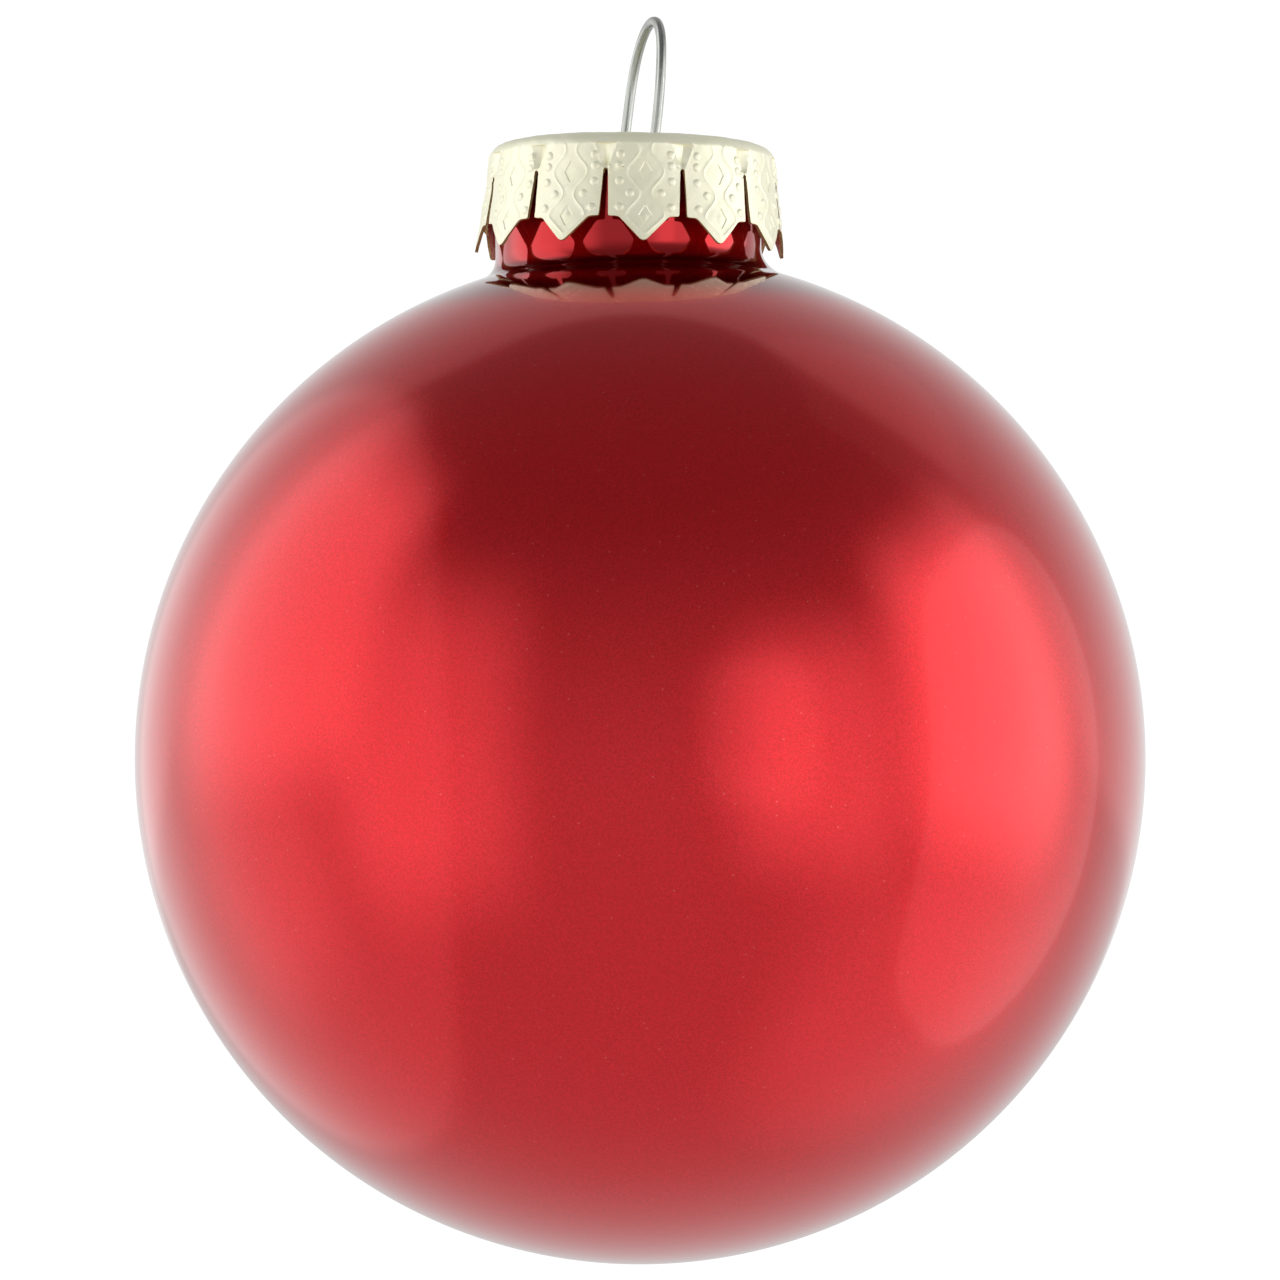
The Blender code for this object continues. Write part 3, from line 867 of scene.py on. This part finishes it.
def make_cap():
    """The cap: a flat top and 12 petals, welded into one sheet and given its thickness inwards."""
    shapes = petal_shapes()
    points, faces = top_disc()
    blocks = [points]
    edge_highlight_points, speck_chance = [np.zeros(len(points))], [np.zeros(len(points))]
    count = len(points)
    for index in range(PETALS):
        flat, petal_faces = petal_sheet(shapes[index], shapes[index - 1])
        blocks.append(petal_points(flat, index, shapes))
        # The points on each petal's cut edge, which get the painted edge highlight.
        edge_highlight_points.append((edge_distance(flat) < 0.01).astype(float))
        # Nearness to the top of each slit, where the dark specks come more often.
        from_slit = np.hypot(HALF_PITCH - np.abs(flat[:, 0]), flat[:, 1] - SLIT_AT)
        speck_chance.append(ridge(from_slit, SLIT_TOP_SPECK_REACH))
        faces += [tuple(corner + count for corner in reversed(face)) for face in petal_faces]
        count += len(flat)
    cap = mesh_object("petal_crown_cap", tilt_cap(np.concatenate(blocks)), faces, CAP_TOP)
    for name, values in (("painted_edge_highlight", edge_highlight_points), ("near_slit_top", speck_chance)):
        mark = cap.data.attributes.new(name, "FLOAT", "POINT")
        mark.data.foreach_set("value", np.concatenate(values))
    welded(cap, 0.004 * MM)
    for material in (champagne_face(), bronze_inside(), gold_edge()):
        cap.data.materials.append(material)
    solid = cap.modifiers.new("sheet", "SOLIDIFY")
    solid.thickness = SHEET * MM
    solid.offset = -1.0
    solid.use_quality_normals = True
    solid.material_offset = 1
    solid.material_offset_rim = 2
    baked(cap)
    cap.data.shade_smooth()
    cap.data.set_sharp_from_angle(angle=SHARP_FOLD)
    return cap


# ---------------------------------------------------------------- wire

def between(start, end, share):
    """A number between two numbers."""
    return start + (end - start) * share


def leg_half_spacing(depth):
    """Half the gap between the legs at a depth below the hinge: out to the knees, then in."""
    if depth <= STRAIGHT_DEPTH:
        return LEG_HALF_SPACING
    if depth <= KNEE_DEPTH:
        along = (depth - STRAIGHT_DEPTH) / (KNEE_DEPTH - STRAIGHT_DEPTH)
        return between(LEG_HALF_SPACING, KNEE_HALF_SPACING, (1 - math.cos(math.pi * along)) / 2)
    along = (depth - KNEE_DEPTH) / (LEG_DEPTH - KNEE_DEPTH)
    return between(FOOT_HALF_SPACING, KNEE_HALF_SPACING, math.cos(math.pi / 2 * along))


def wire_path():
    """Centre line in the loop's own plane, (sideways, up) from the loop's inner top."""
    hinge_drop = LOOP_LENGTH - 2 * WIRE_RADIUS
    arch_foot = WIRE_RADIUS - ARCH_HEIGHT
    depths = np.linspace(LEG_DEPTH, 0.0, 76)
    rising = [(-leg_half_spacing(depth), -hinge_drop - depth) for depth in depths]
    heights = np.linspace(-hinge_drop, arch_foot, 20)[1:-1]
    straight = [(-LEG_HALF_SPACING, height) for height in heights]
    angles = np.linspace(math.pi, math.pi / 2, 40)
    arch = [(LEG_HALF_SPACING * math.cos(a), arch_foot + ARCH_HEIGHT * math.sin(a)) for a in angles]
    half = np.array(rising + straight + arch)
    return np.concatenate([half, half[-2::-1] * np.array([-1.0, 1.0])])


def make_wire():
    """The wire as rings of points round the path, with clipped ends and a little hand-bent sway."""
    path = wire_path()
    total = float(np.cumsum(np.linalg.norm(np.diff(path, axis=0), axis=1))[-1])
    path = even_steps(path, WIRE_STEP)
    lengths = np.linspace(0, total, len(path))
    hold = smoothstep(0.0, WIRE_STEADY_ENDS, lengths)
    hold = hold * smoothstep(total, total - WIRE_STEADY_ENDS, lengths)
    off_plane = WIRE_SWAY_OUT * np.sin(lengths * 0.7 + 1.1) * hold
    kink = np.stack([WIRE_SWAY * np.sin(lengths * 0.9 + 0.5), 0.0 * lengths], 1)
    path = path + kink * hold[:, None]
    along = np.gradient(path, axis=0)
    along /= np.linalg.norm(along, axis=1)[:, None]
    points, places = [], []
    for i, (sideways, up) in enumerate(path):
        end = min(lengths[i], total - lengths[i])
        radius = WIRE_RADIUS * between(WIRE_END_SHARE, 1.0, float(smoothstep(0.0, WIRE_END_BEVEL, end)))
        for side in range(WIRE_SIDES):
            turn = 2 * math.pi * side / WIRE_SIDES
            across = radius * math.cos(turn)
            out = radius * math.sin(turn) + off_plane[i]
            points.append((out, sideways - along[i, 1] * across, up + along[i, 0] * across))
            places.append((math.cos(turn), math.sin(turn), lengths[i] * DIE_LINE_STRETCH))
    last = (len(path) - 1) * WIRE_SIDES
    faces = [tuple(range(WIRE_SIDES)), tuple(last + side for side in reversed(range(WIRE_SIDES)))]
    faces += tube_faces(len(path), WIRE_SIDES)
    lean = np.array(Matrix.Rotation(LOOP_LEAN, 3, "Y"))
    wire = mesh_object("sprung_wire_hanger", np.array(points) @ lean.T, faces, (0.0, 0.0, 0.0))
    place = wire.data.attributes.new("wire_place", "FLOAT_VECTOR", "POINT")
    place.data.foreach_set("vector", np.array(places).ravel())
    wire.data.materials.append(drawn_steel())
    wire.data.shade_smooth()
    wire.data.set_sharp_from_angle(angle=WIRE_SHARP_FOLD)
    return wire


# ---------------------------------------------------------------- studio

# Panels round the ball, seen from its centre. Each is a rounded patch of sky: azimuth (0 behind the
# ball, + to the camera's right) and height of its middle, half width, half height, all in degrees,
# then squareness, softness of its border as a share of its size, and the brightness it adds.
# These numbers were not all set by hand. A separate least-squares program fitted them to the ball's
# reflections, and they are rounded here, like those of the room below. Only the squareness, the
# ceiling panel, and small changes to the backdrop and the two walls are given one by one.
PANELS = {
    "backdrop": (7, 28, 60, 34, 5.0, 0.06, 0.18),
    "left_wall": (-80, -2, 57, 58, 2.3, 0.04, 0.20),
    "left_window": (-84, 25, 28, 26, 5.0, 0.35, 0.83),
    "left_window_sill": (-81, -16, 20, 17, 3.0, 0.50, 0.26),
    "left_card": (-131, 3, 21, 31, 4.0, 0.45, 0.50),
    "right_wall": (84, -6, 29, 39, 3.0, 0.03, 0.32),
    "right_window": (94, 11, 23, 25, 4.0, 0.40, 1.16),
    "right_floor": (94, -44, 40, 27, 3.0, 0.50, 0.28),
    "right_far_wall": (139, 1, 18, 23, 4.0, 0.50, 0.60),
    "right_card": (153, 5, 13, 16, 4.0, 0.25, 0.28),
    "ceiling_panel": (58, 50, 26, 13, 6.0, 0.04, 0.05),
}
# The room behind the panels: dim overhead, brighter from a little below the horizon down
CEILING, ROOM = 0.18, 0.59
CEILING_FROM, ROOM_FROM = 60.0, -14.0
STUDIO_STRENGTH = 1.12
BACKDROP_STRENGTH = 1.05
FLOOR_LIGHT = 5.0
FLOOR_DROP = 0.60
FLOOR_RADIUS = 4.0


def panel_light(tree, azimuth, up, panel):
    """Brightness of one panel at a direction."""
    middle, height, half_wide, half_tall, squareness, softness, strength = panel
    powers = []
    for angle, centre, half in ((azimuth, middle, half_wide), (up, height, half_tall)):
        away = maths(tree, "ABSOLUTE", maths(tree, "MULTIPLY_ADD", angle, 1 / half, -centre / half))
        powers.append(maths(tree, "POWER", away, squareness))
    out = maths(tree, "POWER", maths(tree, "ADD", *powers), 1 / squareness)
    inside = remap(tree, out, 1 + softness, 1 - softness, smooth=True)
    return maths(tree, "MULTIPLY", inside, strength)


def make_world():
    """Soft panels round the ball for everything that it reflects, and plain white for the camera."""
    world = bpy.data.worlds.new("studio")
    bpy.context.scene.world = world
    world.use_nodes = True
    tree = world.node_tree
    tree.nodes.clear()
    direction = node(tree, "ShaderNodeTexCoord").outputs["Generated"]
    turned = node(tree, "ShaderNodeMapping", {"Vector": direction, "Rotation": (0, 0, -CAMERA_AZIMUTH)})
    part = node(tree, "ShaderNodeSeparateXYZ", {"Vector": turned.outputs["Vector"]})
    azimuth = maths(tree, "ARCTAN2", part.outputs[0], part.outputs[1])
    azimuth = maths(tree, "MULTIPLY", azimuth, 180 / math.pi)
    up = maths(tree, "MULTIPLY", maths(tree, "ARCSINE", part.outputs[2]), 180 / math.pi)
    light = remap(tree, up, CEILING_FROM, ROOM_FROM, CEILING, ROOM, smooth=True)
    for panel in PANELS.values():
        light = maths(tree, "ADD", light, panel_light(tree, azimuth, up, panel))
    studio = node(tree, "ShaderNodeBackground", {"Color": light, "Strength": STUDIO_STRENGTH})
    white = node(tree, "ShaderNodeBackground", {"Color": (1, 1, 1, 1), "Strength": BACKDROP_STRENGTH})
    seen = node(tree, "ShaderNodeLightPath").outputs["Is Camera Ray"]
    both = node(tree, "ShaderNodeMixShader", {0: seen, 1: studio.outputs[0], 2: white.outputs[0]})
    node(tree, "ShaderNodeOutputWorld", {"Surface": both.outputs[0]})


def light_floor(floor):
    """A wide overhead lamp that lights only the floor, so that it shows as pale as the backdrop."""
    data = bpy.data.lights.new("floor_wash", "SUN")
    data.energy = FLOOR_LIGHT
    data.angle = math.pi
    lamp = bpy.data.objects.new("floor_wash", data)
    bpy.context.scene.collection.objects.link(lamp)
    lamp.location = BALL_CENTRE + Vector((0.0, 0.0, 1.0))
    lit = bpy.data.collections.new("lit_by_floor_wash")
    lit.objects.link(floor)
    lamp.light_linking.receiver_collection = lit


def make_floor():
    """A wide pale floor under the hanging ball."""
    bpy.ops.mesh.primitive_circle_add(vertices=96, radius=FLOOR_RADIUS, fill_type="NGON")
    floor = bpy.context.active_object
    floor.name = "studio_floor"
    floor.location = (BALL_CENTRE.x, BALL_CENTRE.y, BALL_LOW.z - FLOOR_DROP)
    material, tree, shader, where = new_material("pale_floor")
    speckle = noise(tree, where, 900.0, 2.0)
    put(tree, shader, "Base Color", mixed(tree, speckle, (0.90, 0.90, 0.90, 1), (0.93, 0.93, 0.93, 1)))
    put(tree, shader, "Roughness", 0.9)
    floor.data.materials.append(material)
    floor.visible_glossy = False
    floor.visible_diffuse = False
    floor.visible_shadow = False
    return floor


def make_camera():
    """A long lens level with the ball, aimed a little above its centre and rolled slightly."""
    data = bpy.data.cameras.new("camera")
    data.lens = CAMERA_LENS
    data.sensor_width = 36.0
    data.clip_start = 0.01
    camera = bpy.data.objects.new("camera", data)
    bpy.context.scene.collection.objects.link(camera)
    back = Vector((math.sin(CAMERA_AZIMUTH), -math.cos(CAMERA_AZIMUTH), 0.0))
    camera.location = BALL_CENTRE + back * CAMERA_DISTANCE
    across = Vector((math.cos(CAMERA_AZIMUTH), math.sin(CAMERA_AZIMUTH), 0.0)) * CAMERA_AIM_ACROSS
    aim = BALL_CENTRE + across + Vector((0.0, 0.0, CAMERA_AIM_UP)) - camera.location
    camera.rotation_mode = "QUATERNION"
    roll = Matrix.Rotation(-CAMERA_ROLL, 3, "Z").to_quaternion()
    camera.rotation_quaternion = aim.to_track_quat("-Z", "Y") @ roll
    bpy.context.scene.camera = camera


# ---------------------------------------------------------------- assembly

def place(piece, body, replaced, slot):
    """Puts a finished piece on its body, in place of a CAD node."""
    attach(piece, body)
    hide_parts(replaced)


make_world()
light_floor(make_floor())
make_camera()
bpy.context.scene.view_settings.view_transform = "Standard"

place(make_ball(), "ball", "glass_ball", "red_pearl_glass")
place(make_cap(), "cap", "crown_cap", "champagne_tin")
place(make_wire(), "hanger", "wire_hanger", "steel_wire")
